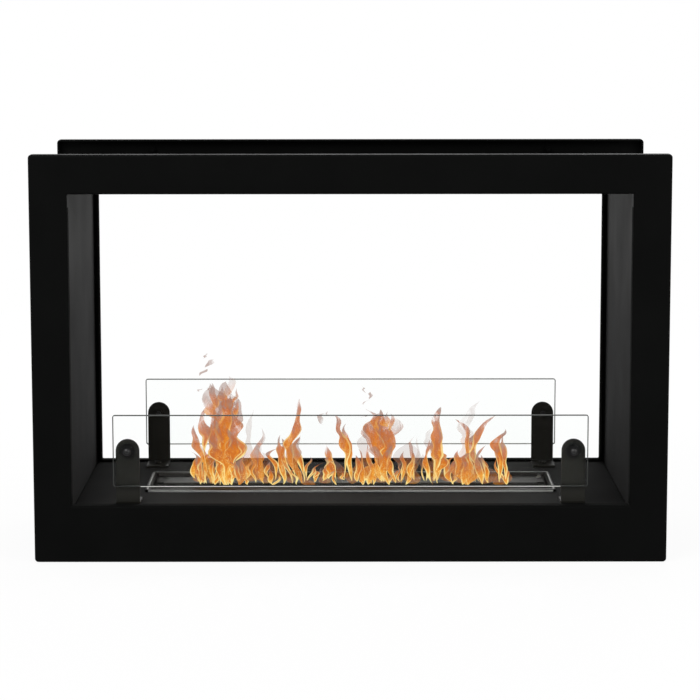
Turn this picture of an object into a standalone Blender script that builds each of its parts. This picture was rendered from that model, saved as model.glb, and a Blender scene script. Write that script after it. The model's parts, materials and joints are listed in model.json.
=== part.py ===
"""Double-sided ethanol fireplace insert: two folded face frames on a double-walled tunnel,
with a drop-in burner and its sliding lid on the hearth, and a low glass pane on each side.

Metres, +Z up. X is the width and Y the depth, with the front towards -Y. The origin is the
bottom centre of the whole insert, on the plane that it stands on.
"""

import math

import bmesh
import bpy
from mathutils import Matrix, Vector

# Whole insert
WIDTH = 0.800
HEIGHT = 0.516
DEPTH = 0.340

# Face frames, each one folded tray with a wide opening; the rear one is narrower inside
FRONT_SIDE_BORDER = 0.048
REAR_SIDE_BORDER = 0.055
TOP_BORDER = 0.0495
BOTTOM_BORDER = 0.073
FRAME_SHEET = 0.0025
OUTER_RETURN = 0.015
INNER_RETURN = 0.015
CORNER_RADIUS = 0.0045
OPENING_CORNER_RADIUS = 0.0015
FOLD_RADIUS = 0.003

# Clearances
CONTACT_GAP = 0.0003
HOLE_CLEARANCE = 0.0004
CUT_OVERRUN = 0.004
WELD_DISTANCE = 0.00001

# Outer casing between the frames
CASING_SHEET = 0.0015
CASING_RECESS = 0.025
CASING_FLANGE = 0.020
CASING_LIP = 0.015

# Inner liner, hearth and insulation
LINER_SHEET = 0.0015
LINER_FLANGE = 0.012
HEARTH_SHEET = 0.002
HEARTH_DROP = 0.0035
HEARTH_SIDE_FLANGE = 0.012
HEARTH_RELIEF = 0.003
CORNER_RELIEF = 0.002
BOARD_EDGE = 0.001

# Weld studs and nuts that hold the frames on the casing's flanges
STUD_RADIUS = 0.0025
STUD_LENGTH = 0.0095
STUD_NUT_FLATS = 0.008
STUD_NUT_HEIGHT = 0.004
STUD_ROOT = 0.001
STUD_WIDTH_SHARES = (-0.36, 0.36)

# Rivets through the casing's corner lips
RIVET_RADIUS = 0.0016
RIVET_HEAD_RADIUS = 0.0032
RIVET_HEAD_HEIGHT = 0.0012
RIVET_TAIL = 0.001
RIVET_DEPTH_SHARES = (-0.3, 0.3)
RIVET_CROWN_SHARES = (0.6, 0.85)

# Glass panes
PANE_HEIGHT = 0.092
PANE_THICKNESS = 0.005
PANE_LIFT = 0.025
PANE_SETBACK = 0.014
FRONT_PANE_END_GAP = 0.0512
REAR_PANE_END_GAP = 0.062
PANE_CORNER_RADIUS = 0.003
PANE_GROUND_EDGE = 0.001

# Pane brackets: a round-topped upright on a foot that is turned towards the fire
BRACKET_WIDTH = 0.030
BRACKET_HEIGHT = 0.085
BRACKET_SHEET = 0.003
BRACKET_FOOT = 0.040
BRACKET_BEND_RADIUS = 0.0015
BRACKET_INSET = 0.0183

# Pane screws with their washers, pads and nuts
PANE_SCREW_RADIUS = 0.003
PANE_SCREW_TAIL = 0.0012
PANE_HEAD_RADIUS = 0.00525
PANE_HEAD_HEIGHT = 0.0033
SOCKET_RADIUS = 0.0019
SOCKET_DEPTH = 0.0018
BUTTON_CROWN_SHARES = (0.78, 0.6)
WASHER_RADIUS = 0.007
WASHER_THICKNESS = 0.001
PAD_RADIUS = 0.010
PAD_THICKNESS = 0.001
PANE_HOLE_CLEARANCE = 0.001
PANE_NUT_FLATS = 0.010
PANE_NUT_HEIGHT = 0.005

# Foot screws, one in each bracket
FOOT_SCREW_RADIUS = 0.0025
FOOT_SCREW_TAIL = 0.004
FOOT_HEAD_RADIUS = 0.0046
FOOT_HEAD_HEIGHT = 0.0028
FOOT_SCREW_SHARE = 0.56
PAN_CROWN_SHARES = (0.75, 0.6)

# Burner: a pressed pan with a slot, a fuel reservoir under it and a sliding lid
BURNER_LENGTH = 0.536
BURNER_WIDTH = 0.128
BURNER_SHEET = 0.0015
BURNER_CORNER_RADIUS = 0.005
PAN_CORNER_RADIUS = 0.0015
CUTOUT_CORNER_RADIUS = 0.002
RIM_WIDTH = 0.008
RIM_HEIGHT = 0.0025
RIM_BEAD = 0.0009
BEAD_SHARES = ((0.0, 0.0), (0.25, 1.0), (0.5, 1.0), (0.75, 0.0), (1.0, 0.0))
PAN_DEPTH = 0.004
PAN_DRAFT = 0.001
SLOT_WIDTH = 0.008
SLOT_OFFSET = -0.0025
SLOT_END_MARGIN = 0.010
SLOT_CORNER_RADIUS = 0.0015
RESERVOIR_SHEET = 0.0012
RESERVOIR_DEPTH = 0.036
RESERVOIR_INSET = 0.0015
RESERVOIR_CORNER_RADIUS = 0.004
CUTOUT_CLEARANCE = 0.001
WOOL_DROP = 0.0105
WOOL_EDGE = 0.002

# Sliding lid: it rests fully open, with its front lip against the slot's rear edge
LID_WIDTH = 0.041
LID_END_GAP = 0.002
LID_LIP = 0.008
LID_LIP_END_GAP = 0.001
LID_LIP_RELIEF = 0.0025
LID_OPENING = 0.006
EYE_RADIUS = 0.0031
EYE_BORE_RADIUS = 0.0015
EYE_NECK_RADIUS = 0.0022
EYE_HEIGHT = 0.003
EYE_FLANGE = 0.0007
EYE_END_MARGIN = 0.0045
EYE_REAR_MARGIN = 0.006

# Facets of round pieces, and the angles that count as an edge
CORNER_STEPS = 4
FOLD_STEPS = 3
ROUND_TOP_STEPS = 20
FINE_TURN_STEPS = 24
TURN_STEPS = 16
HOLE_SIDES = 16
NUT_SIDES = 6
SHARP_ANGLE = math.radians(32)
EDGE_ANGLE = math.radians(45)

# The two sides and the two hands of each, as seen from that side
SIDE_WORDS = ("front", "rear")
HANDS = (("left", -1), ("right", 1))
SIDE_BORDERS = {"front": FRONT_SIDE_BORDER, "rear": REAR_SIDE_BORDER}
PANE_END_GAPS = {"front": FRONT_PANE_END_GAP, "rear": REAR_PANE_END_GAP}

# Places worked out from the sizes above
OPENING_HALF_WIDTHS = {word: WIDTH / 2 - border for word, border in SIDE_BORDERS.items()}
OPENING_TOP = HEIGHT - TOP_BORDER
HEARTH_TOP = BOTTOM_BORDER - HEARTH_DROP
FACE_BACK = DEPTH / 2 - FRAME_SHEET - CONTACT_GAP

CASING_HALF_WIDTH = WIDTH / 2 - CASING_RECESS
CASING_TOP = HEIGHT - CASING_RECESS
CASING_FLOOR = CASING_RECESS + CASING_SHEET

LINER_HALF_WIDTH = max(OPENING_HALF_WIDTHS.values())
LINER_FRONT = -DEPTH / 2 + INNER_RETURN + CONTACT_GAP
LINER_BOTTOM = CASING_FLOOR + CONTACT_GAP
LINER_TOP = OPENING_TOP + FRAME_SHEET

BURNER_Z = HEARTH_TOP + CONTACT_GAP
DECK_TOP = BURNER_Z + RIM_HEIGHT - PAN_DEPTH
DECK_HALF_LENGTH = BURNER_LENGTH / 2 - RIM_WIDTH - PAN_DRAFT
DECK_HALF_WIDTH = BURNER_WIDTH / 2 - RIM_WIDTH - PAN_DRAFT
SLOT_FRONT = SLOT_OFFSET - SLOT_WIDTH / 2
SLOT_HALF_LENGTH = DECK_HALF_LENGTH - SLOT_END_MARGIN
LID_BOTTOM = DECK_TOP + CONTACT_GAP
LID_FRONT = SLOT_FRONT + LID_OPENING

PANE_BOTTOM = HEARTH_TOP + PANE_LIFT
PANE_SCREW_Z = HEARTH_TOP + CONTACT_GAP + BRACKET_HEIGHT - BRACKET_WIDTH / 2
BRACKET_SETBACK = PANE_SETBACK + PANE_THICKNESS + PAD_THICKNESS + 2 * CONTACT_GAP


# Scene, collections and materials

def collection(name):
    """A new collection in the scene."""
    made = bpy.data.collections.new(name)
    bpy.context.scene.collection.children.link(made)
    return made


def finish(name, colour, roughness, metallic=0.0, transmission=0.0):
    """A Principled material."""
    material = bpy.data.materials.new(name)
    material.use_nodes = True
    shader = material.node_tree.nodes["Principled BSDF"]
    shader.inputs["Base Color"].default_value = (*colour, 1.0)
    shader.inputs["Roughness"].default_value = roughness
    shader.inputs["Metallic"].default_value = metallic
    shader.inputs["Transmission Weight"].default_value = transmission
    return material


for old in list(bpy.data.objects):
    bpy.data.objects.remove(old)
PARTS = collection("double_sided_fireplace")
CUTTERS = collection("cutters")


# Shared modelling steps

def add_object(name, mesh, material, parent=None, home=PARTS):
    """A mesh object in its collection, with its material and parent."""
    made = bpy.data.objects.new(name, mesh)
    home.objects.link(made)
    if material is not None:
        mesh.materials.clear()
        mesh.materials.append(material)
    made.parent = parent
    return made


def mesh_from(bm, name):
    """A mesh datablock from a bmesh, which is freed."""
    bmesh.ops.recalc_face_normals(bm, faces=bm.faces)
    mesh = bpy.data.meshes.new(name)
    bm.to_mesh(mesh)
    bm.free()
    return mesh


def smooth(obj):
    """Smooth shading with sharp edges where the surface turns."""
    obj.data.shade_smooth()
    obj.data.set_sharp_from_angle(angle=SHARP_ANGLE)


def worked_out_mesh(obj):
    """The mesh of an object with its modifiers or curve settings applied and its seams welded."""
    depsgraph = bpy.context.evaluated_depsgraph_get()
    mesh = bpy.data.meshes.new_from_object(obj.evaluated_get(depsgraph))
    bm = bmesh.new()
    bm.from_mesh(mesh)
    bmesh.ops.remove_doubles(bm, verts=bm.verts, dist=WELD_DISTANCE)
    bm.to_mesh(mesh)
    bm.free()
    return mesh


def solidify(obj, thickness, offset):
    """A wall of even thickness: offset 0 is centred, -1 lies behind the surface."""
    wall = obj.modifiers.new("wall", "SOLIDIFY")
    wall.thickness = thickness
    wall.offset = offset
    wall.use_even_offset = True
    wall.use_quality_normals = True


def bevel(obj, width):
    """A flat chamfer wherever the surface turns by more than the edge angle."""
    edge = obj.modifiers.new("edge", "BEVEL")
    edge.width = width
    edge.segments = 1
    edge.limit_method = "ANGLE"
    edge.angle_limit = EDGE_ANGLE
    edge.use_clamp_overlap = False


def arc(centre, radius, start, end, steps):
    """Points along an arc, with both ends."""
    turns = [start + (end - start) * index / steps for index in range(steps + 1)]
    return [(centre[0] + radius * math.cos(turn), centre[1] + radius * math.sin(turn)) for turn in turns]


def circle(centre, radius, steps):
    """Points round a circle."""
    return arc(centre, radius, 0, math.tau, steps)[:-1]


def rounded_rectangle(low, high, radius, steps=CORNER_STEPS):
    """Points round a rectangle with round corners, counter-clockwise."""
    left, bottom = low[0] + radius, low[1] + radius
    right, top = high[0] - radius, high[1] - radius
    points = []
    for quarter, centre in enumerate(((right, top), (left, top), (left, bottom), (right, bottom))):
        points += arc(centre, radius, quarter * math.pi / 2, (quarter + 1) * math.pi / 2, steps)
    return points


def loft(name, rings, facing_side, closed_end=False):
    """An open surface extruded from each ring of points to the next, its largest face on the named side."""
    bm = bmesh.new()
    verts = [bm.verts.new(point) for point in rings[0]]
    edges = [bm.edges.new(pair) for pair in zip(verts, verts[1:] + verts[:1])]
    for points in rings[1:]:
        made = bmesh.ops.extrude_edge_only(bm, edges=edges)["geom"]
        grown = {item for item in made if isinstance(item, bmesh.types.BMVert)}
        edges = [edge for edge in bm.edges if grown.issuperset(edge.verts)]
        verts = [
            next(edge.other_vert(vert) for edge in vert.link_edges if edge.other_vert(vert) in grown)
            for vert in verts
        ]
        for vert, point in zip(verts, points):
            vert.co = point
    if closed_end:
        bmesh.ops.contextual_create(bm, geom=edges)
    mesh = mesh_from(bm, name)
    largest = max(mesh.polygons, key=lambda polygon: polygon.area)
    if largest.normal.dot(Vector(facing_side)) < 0:
        mesh.flip_normals()
    return mesh


def plate_mesh(name, outlines, thickness):
    """A flat plate centred on local XY: the first outline is its edge and the others are holes."""
    curve = bpy.data.curves.new(name, "CURVE")
    curve.dimensions = "2D"
    curve.fill_mode = "BOTH"
    curve.extrude = thickness / 2
    for points in outlines:
        spline = curve.splines.new("POLY")
        spline.points.add(len(points) - 1)
        for point, (across, along) in zip(spline.points, points):
            point.co = (across, along, 0, 1)
        spline.use_cyclic_u = True
    drawn = bpy.data.objects.new(name, curve)
    PARTS.objects.link(drawn)
    mesh = worked_out_mesh(drawn)
    bpy.data.objects.remove(drawn)
    bpy.data.curves.remove(curve)
    return mesh


def turned_mesh(name, profile, steps, closed=False):
    """A turned solid about local Z. The profile holds (radius, height) points, top to bottom."""
    bm = bmesh.new()
    points = [bm.verts.new((radius, 0, height)) for radius, height in profile]
    for first, second in zip(points, points[1:]):
        bm.edges.new((first, second))
    if closed:
        bm.edges.new((points[-1], points[0]))
    mesh = bpy.data.meshes.new(name)
    bm.to_mesh(mesh)
    bm.free()
    spun = bpy.data.objects.new(name, mesh)
    PARTS.objects.link(spun)
    screw = spun.modifiers.new("turn", "SCREW")
    screw.steps = steps
    screw.render_steps = steps
    screw.use_merge_vertices = True
    screw.merge_threshold = WELD_DISTANCE
    turned = worked_out_mesh(spun)
    bpy.data.objects.remove(spun)
    return turned


def copies(mesh, places, material, parent=None):
    """The same small solid at each named place, a matrix in the parent's frame."""
    for name, place in places.items():
        made = add_object(name, mesh, material, parent)
        made.matrix_basis = place
        smooth(made)


def facing(direction, location):
    """A matrix that turns local +Z to the direction and moves the origin to the location."""
    turn = Vector(direction).to_track_quat("Z", "Y").to_matrix().to_4x4()
    return Matrix.Translation(location) @ turn


def cut(target, cutter, operation="DIFFERENCE"):
    """Boolean with a cutter, which is kept out of the model."""
    cutter.hide_render = True
    cutter.display_type = "WIRE"
    boolean = target.modifiers.new(cutter.name, "BOOLEAN")
    boolean.operation = operation
    boolean.solver = "EXACT"
    boolean.object = cutter


def drill(target, places, radius, length):
    """Round holes through a target: each place is a matrix in its parent's frame, +Z along the hole."""
    bm = bmesh.new()
    for place in places:
        bmesh.ops.create_cone(
            bm, cap_ends=True, segments=HOLE_SIDES, radius1=radius, radius2=radius,
            depth=length, matrix=place,
        )
    cutter = add_object(target.name + "_holes", mesh_from(bm, "holes"), None, target.parent, CUTTERS)
    cut(target, cutter)


def block(name, low, high, edge, material, parent=None):
    """A box between two corners, with chamfered edges."""
    size = [top - bottom for bottom, top in zip(low, high)]
    centre = [(top + bottom) / 2 for bottom, top in zip(low, high)]
    bm = bmesh.new()
    bmesh.ops.create_cube(bm, size=1)
    bmesh.ops.scale(bm, vec=size, verts=bm.verts)
    made = add_object(name, mesh_from(bm, name), material, parent)
    made.location = centre
    bevel(made, edge)
    return made


def folded_sheet(name, half_length, half_width, sheet, folds, relief, material, parent=None):
    """A sheet whose middle surface lies on local XY, with a flange turned along some of its edges.

    folds maps a side (-x, +x, -y or +y) to the flange's signed height. The corners are notched by
    relief, as a folded blank is.
    """
    inner_x = half_length - relief[0]
    inner_y = half_width - relief[1]
    bm = bmesh.new()
    bmesh.ops.create_grid(bm, x_segments=3, y_segments=3, size=1)
    for vert in bm.verts:
        outer_x, outer_y = (math.isclose(abs(value), 1) for value in vert.co.xy)
        vert.co.x = math.copysign(half_length if outer_x else inner_x, vert.co.x)
        vert.co.y = math.copysign(half_width if outer_y else inner_y, vert.co.y)
    corners = [
        face for face in bm.faces
        if abs(face.calc_center_median().x) > inner_x and abs(face.calc_center_median().y) > inner_y
    ]
    bmesh.ops.delete(bm, geom=corners, context="FACES")
    reach = {"-x": (0, -half_length), "+x": (0, half_length), "-y": (1, -half_width), "+y": (1, half_width)}
    bends = []
    for side, height in folds.items():
        axis, place = reach[side]
        edges = [
            edge for edge in bm.edges
            if edge.is_boundary and all(abs(vert.co[axis] - place) < WELD_DISTANCE for vert in edge.verts)
        ]
        grown = bmesh.ops.extrude_edge_only(bm, edges=edges)["geom"]
        bmesh.ops.translate(
            bm, vec=(0, 0, height), verts=[item for item in grown if isinstance(item, bmesh.types.BMVert)]
        )
        bends += edges
    bmesh.ops.bevel(
        bm, geom=bends, offset=sheet, offset_type="OFFSET", segments=FOLD_STEPS, profile=0.5,
        affect="EDGES", clamp_overlap=True,
    )
    made = add_object(name, mesh_from(bm, name), material, parent)
    solidify(made, sheet, 0)
    smooth(made)
    return made


def empty(name, location, turn=0.0, parent=None):
    """A parent for the pieces of one side or one moving group."""
    made = bpy.data.objects.new(name, None)
    PARTS.objects.link(made)
    made.location = location
    made.rotation_euler.z = turn
    made.parent = parent
    return made


# Finishes

BLACK_POWDER = finish("black_powder_coat", (0.008, 0.008, 0.008), 0.55)
LINER_PAINT = finish("dark_grey_heat_paint", (0.045, 0.045, 0.046), 0.5, 0.2)
BRUSHED_STEEL = finish("brushed_stainless", (0.46, 0.45, 0.44), 0.32, 1.0)
DARK_STEEL = finish("blackened_steel", (0.035, 0.035, 0.034), 0.38, 0.6)
CLEAR_GLASS = finish("clear_tempered_glass", (0.93, 0.97, 0.95), 0.02, 0.0, 1.0)
BLACK_RUBBER = finish("black_silicone", (0.02, 0.02, 0.02), 0.7)
MINERAL_BOARD = finish("mineral_fibre_board", (0.55, 0.52, 0.43), 0.95)
WHITE_WOOL = finish("ceramic_wool", (0.85, 0.84, 0.80), 1.0)


# Face frames

def fold_section(depth):
    """Section of a folded edge: (distance in from the edge, depth behind the face), back to front."""
    turns = [math.pi / 2 * step / FOLD_STEPS for step in range(FOLD_STEPS + 1)]
    bend = [(FOLD_RADIUS * (1 - math.cos(turn)), FOLD_RADIUS * (1 - math.sin(turn))) for turn in turns]
    return [(0, depth)] + bend


def outline_ring(inset, depth):
    """The frame's outline, drawn in by the inset, at a depth behind its face."""
    low = (-WIDTH / 2 + inset, inset)
    high = (WIDTH / 2 - inset, HEIGHT - inset)
    return [(x, depth, z) for x, z in rounded_rectangle(low, high, CORNER_RADIUS - inset)]


def opening_ring(half_width, inset, depth):
    """The frame's opening, widened by the inset, at a depth behind its face."""
    low = (-half_width - inset, BOTTOM_BORDER - inset)
    high = (half_width + inset, OPENING_TOP + inset)
    return [(x, depth, z) for x, z in rounded_rectangle(low, high, OPENING_CORNER_RADIUS + inset)]


def face_frame(word, side):
    """Folded tray in the side's frame: face on local XZ at y = 0, returns running to +Y."""
    name = word + "_face_frame"
    rings = [outline_ring(inset, depth) for inset, depth in fold_section(OUTER_RETURN)]
    rings += [
        opening_ring(OPENING_HALF_WIDTHS[word], inset, depth)
        for inset, depth in reversed(fold_section(INNER_RETURN))
    ]
    frame = add_object(name, loft(name, rings, (0, -1, 0)), BLACK_POWDER, side)
    solidify(frame, FRAME_SHEET, -1)
    studs = bmesh.new()
    length = STUD_LENGTH + STUD_ROOT
    for place in stud_places(FRAME_SHEET + STUD_LENGTH - length / 2).values():
        bmesh.ops.create_cone(
            studs, cap_ends=True, segments=HOLE_SIDES, radius1=STUD_RADIUS, radius2=STUD_RADIUS,
            depth=length, matrix=place,
        )
    welded = add_object(name + "_studs", mesh_from(studs, "studs"), None, side, CUTTERS)
    cut(frame, welded, "UNION")
    smooth(frame)


# Casing, with its flanges behind the face frames

def side_places(side, places):
    """Places in a side's frame, moved to the world."""
    return {name: side.matrix_basis @ place for name, place in places.items()}


def stud_places(depth):
    """Stud axes in a side's frame, on the casing's upper and lower flanges."""
    middle = (CASING_FLANGE + CASING_SHEET) / 2
    heights = {"top": CASING_TOP + middle, "bottom": CASING_RECESS - middle}
    return {
        f"{panel}_{hand}": facing((0, 1, 0), (share * 2 * CASING_HALF_WIDTH, depth, height))
        for panel, height in heights.items() for hand, share in zip(("left", "right"), STUD_WIDTH_SHARES)
    }


def rivet_places():
    """Rivet axes at the casing's four long corners, named after the two panels that each one joins."""
    from_edge = CASING_SHEET + CASING_LIP / 2
    heights = {"bottom": CASING_RECESS + from_edge, "top": CASING_TOP - from_edge}
    return {
        f"casing_rivet_{lipped}_{side}_{end}":
            facing((sign, 0, 0), (sign * CASING_HALF_WIDTH, share * DEPTH, height))
        for side, sign in (("left", -1), ("right", 1))
        for lipped, height in heights.items()
        for end, share in zip(SIDE_WORDS, RIVET_DEPTH_SHARES)
    }


def casing():
    """Top, bottom and two side panels, flanged outward behind both frames and riveted at the corners."""
    flanges = {"-y": CASING_FLANGE, "+y": CASING_FLANGE}
    lips = {"-x": -CASING_LIP, "+x": -CASING_LIP}
    half_sheet = CASING_SHEET / 2
    lipped_half_width = CASING_HALF_WIDTH - CASING_SHEET - CONTACT_GAP - half_sheet
    half_height = (CASING_TOP - CASING_RECESS) / 2
    half_depth = FACE_BACK - half_sheet
    relief = (CASING_SHEET + CORNER_RELIEF, CASING_SHEET + CORNER_RELIEF)
    panels = {}
    for word, height, turn in (
        ("top", CASING_TOP - half_sheet, 0), ("bottom", CASING_RECESS + half_sheet, math.pi),
    ):
        panel = folded_sheet(
            "casing_" + word, lipped_half_width, half_depth, CASING_SHEET, {**flanges, **lips},
            relief, BLACK_POWDER,
        )
        panel.location.z = height
        panel.rotation_euler.x = turn
        panels[word] = panel
    for word, sign in (("left", -1), ("right", 1)):
        panel = folded_sheet(
            "casing_" + word, half_height, half_depth, CASING_SHEET, flanges, relief, BLACK_POWDER
        )
        panel.location = (sign * (CASING_HALF_WIDTH - half_sheet), 0, CASING_RECESS + half_height)
        panel.rotation_euler.y = sign * math.pi / 2
        panels[word] = panel

    studs = stud_places(FRAME_SHEET + CONTACT_GAP + half_sheet)
    rivets = rivet_places()
    hole_length = 2 * (2 * CASING_SHEET + CUT_OVERRUN)
    for word, panel in panels.items():
        held = [
            place for side in SIDES for name, place in side_places(side, studs).items() if word in name
        ]
        if word in ("top", "bottom"):
            drill(panel, held, STUD_RADIUS + HOLE_CLEARANCE, hole_length)
        joined = [place for name, place in rivets.items() if word in name]
        drill(panel, joined, RIVET_RADIUS + HOLE_CLEARANCE, hole_length)

    tail = -2 * CASING_SHEET - CONTACT_GAP - RIVET_TAIL
    profile = [
        (0, RIVET_HEAD_HEIGHT),
        (RIVET_HEAD_RADIUS * RIVET_CROWN_SHARES[0], RIVET_HEAD_HEIGHT * RIVET_CROWN_SHARES[1]),
        (RIVET_HEAD_RADIUS, CONTACT_GAP),
        (RIVET_RADIUS, CONTACT_GAP),
        (RIVET_RADIUS, tail),
        (0, tail),
    ]
    copies(turned_mesh("rivet", profile, HOLE_SIDES), rivets, DARK_STEEL)


def frame_nuts(word, side):
    """Nuts on a face frame's weld studs, which clamp the casing's flanges."""
    places = {
        f"{word}_frame_nut_{name}": place
        for name, place in stud_places(FRAME_SHEET + CONTACT_GAP).items()
    }
    seat = CONTACT_GAP + CASING_SHEET
    nut = nut_mesh(STUD_NUT_FLATS, STUD_NUT_HEIGHT, STUD_RADIUS + HOLE_CLEARANCE, seat)
    copies(nut, places, DARK_STEEL, side)


def nut_mesh(flats, height, bore_radius, seat):
    """A hexagon nut that stands on local Z = seat."""
    corners = circle((0, 0), flats / 2 / math.cos(math.pi / NUT_SIDES), NUT_SIDES)
    mesh = plate_mesh("nut", [corners, circle((0, 0), bore_radius, HOLE_SIDES)], height)
    mesh.transform(Matrix.Translation((0, 0, seat + height / 2)))
    return mesh


# Liner, hearth and insulation inside the casing

def liner():
    """Two side walls behind the front frame's returns, and the ceiling that rests on them and the returns."""
    half_sheet = LINER_SHEET / 2
    half_depth = (FACE_BACK - LINER_FRONT) / 2
    relief = (LINER_SHEET + CORNER_RELIEF, LINER_SHEET + CORNER_RELIEF)
    half_height = (LINER_TOP - LINER_BOTTOM) / 2
    middle = (FACE_BACK + LINER_FRONT) / 2
    for word, sign in (("left", -1), ("right", 1)):
        wall = folded_sheet(
            "liner_" + word, half_height - half_sheet, half_depth, LINER_SHEET,
            {"-x": LINER_FLANGE, "+x": LINER_FLANGE}, relief, LINER_PAINT,
        )
        wall.location = (sign * (LINER_HALF_WIDTH + half_sheet), middle, LINER_BOTTOM + half_height)
        wall.rotation_euler.y = sign * math.pi / 2
    ceiling = folded_sheet(
        "liner_ceiling", LINER_HALF_WIDTH + LINER_FLANGE, FACE_BACK - half_sheet, LINER_SHEET,
        {"-y": LINER_FLANGE, "+y": LINER_FLANGE}, relief, LINER_PAINT,
    )
    ceiling.location.z = LINER_TOP + CONTACT_GAP + half_sheet


def hearth():
    """Bench-shaped hearth plate that runs under both frames' returns, cut out for the burner."""
    half_sheet = HEARTH_SHEET / 2
    half_length = LINER_HALF_WIDTH - CONTACT_GAP - half_sheet
    half_width = FACE_BACK - half_sheet
    leg = HEARTH_TOP - half_sheet - CASING_FLOOR - CONTACT_GAP
    plate = folded_sheet(
        "hearth_plate", half_length, half_width, HEARTH_SHEET,
        {"-y": -leg, "+y": -leg, "-x": -HEARTH_SIDE_FLANGE, "+x": -HEARTH_SIDE_FLANGE},
        (HEARTH_RELIEF, HEARTH_RELIEF), LINER_PAINT,
    )
    plate.location.z = HEARTH_TOP - half_sheet
    margin = BURNER_SHEET + CUTOUT_CLEARANCE - RIM_WIDTH
    reach = (BURNER_LENGTH / 2 + margin, BURNER_WIDTH / 2 + margin)
    outline = rounded_rectangle((-reach[0], -reach[1]), reach, CUTOUT_CORNER_RADIUS)
    cutter = add_object(
        "burner_cutout", plate_mesh("cutout", [outline], HEARTH_SHEET + CUT_OVERRUN), None, None, CUTTERS
    )
    cutter.location = plate.location
    cut(plate, cutter)
    drill(
        plate, all_sides(foot_screw_places).values(), FOOT_SCREW_RADIUS + HOLE_CLEARANCE,
        2 * (HEARTH_SHEET + CUT_OVERRUN),
    )


def insulation():
    """Fibre boards in the gaps between the liner and the casing."""
    inner = LINER_HALF_WIDTH + FRAME_SHEET + CONTACT_GAP
    rivet_reach = CASING_HALF_WIDTH - 2 * CASING_SHEET - 2 * CONTACT_GAP - RIVET_TAIL
    half_depth = FACE_BACK - LINER_SHEET - CONTACT_GAP
    low = LINER_BOTTOM + LINER_SHEET + CONTACT_GAP
    high = LINER_TOP - LINER_SHEET - CONTACT_GAP
    block(
        "insulation_left", (-rivet_reach, -half_depth, low), (-inner, half_depth, high),
        BOARD_EDGE, MINERAL_BOARD,
    )
    block(
        "insulation_right", (inner, -half_depth, low), (rivet_reach, half_depth, high),
        BOARD_EDGE, MINERAL_BOARD,
    )
    half_length = LINER_HALF_WIDTH + LINER_FLANGE
    bottom = LINER_TOP + LINER_SHEET + 2 * CONTACT_GAP
    block(
        "insulation_top", (-half_length, -half_depth, bottom),
        (half_length, half_depth, CASING_TOP - CASING_SHEET - CONTACT_GAP), BOARD_EDGE, MINERAL_BOARD,
    )


# Glass panes and their brackets, in a side's frame: local +Y runs towards the fire

def pane_half_length(word):
    """Half the length of a side's pane."""
    return OPENING_HALF_WIDTHS[word] - PANE_END_GAPS[word]


def bracket_x(word, sign):
    """Centre of a bracket along the pane."""
    return sign * (pane_half_length(word) - BRACKET_INSET)


def pane_screw_places(word):
    """Screw axes through a pane at its outer face, heads towards the room."""
    return {
        f"{word}_{hand}": facing((0, -1, 0), (bracket_x(word, sign), PANE_SETBACK, PANE_SCREW_Z))
        for hand, sign in HANDS
    }


def foot_screw_places(word):
    """Screw axes through the feet of a side's brackets, at the hearth's top."""
    depth = BRACKET_SETBACK + FOOT_SCREW_SHARE * BRACKET_FOOT
    return {
        f"{word}_{hand}": facing((0, 0, 1), (bracket_x(word, sign), depth, HEARTH_TOP))
        for hand, sign in HANDS
    }


def all_sides(places_of, ending=""):
    """Both sides' places in the world, with an ending added to each name."""
    found = {}
    for word, side in zip(SIDE_WORDS, SIDES):
        for name, place in side_places(side, places_of(word)).items():
            found[name + ending] = place
    return found


def pane(word, side):
    """One tempered glass pane with a hole near each end."""
    half_length = pane_half_length(word)
    top = PANE_BOTTOM + PANE_HEIGHT
    outline = rounded_rectangle((-half_length, PANE_BOTTOM), (half_length, top), PANE_CORNER_RADIUS)
    mesh = plate_mesh(word + "_pane", [outline], PANE_THICKNESS)
    glass = add_object(word + "_glass", mesh, CLEAR_GLASS, side)
    glass.location.y = PANE_SETBACK + PANE_THICKNESS / 2
    glass.rotation_euler.x = math.pi / 2
    bevel(glass, PANE_GROUND_EDGE)
    drill(
        glass, pane_screw_places(word).values(), PANE_SCREW_RADIUS + PANE_HOLE_CLEARANCE,
        2 * (PANE_THICKNESS + CUT_OVERRUN),
    )


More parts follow.
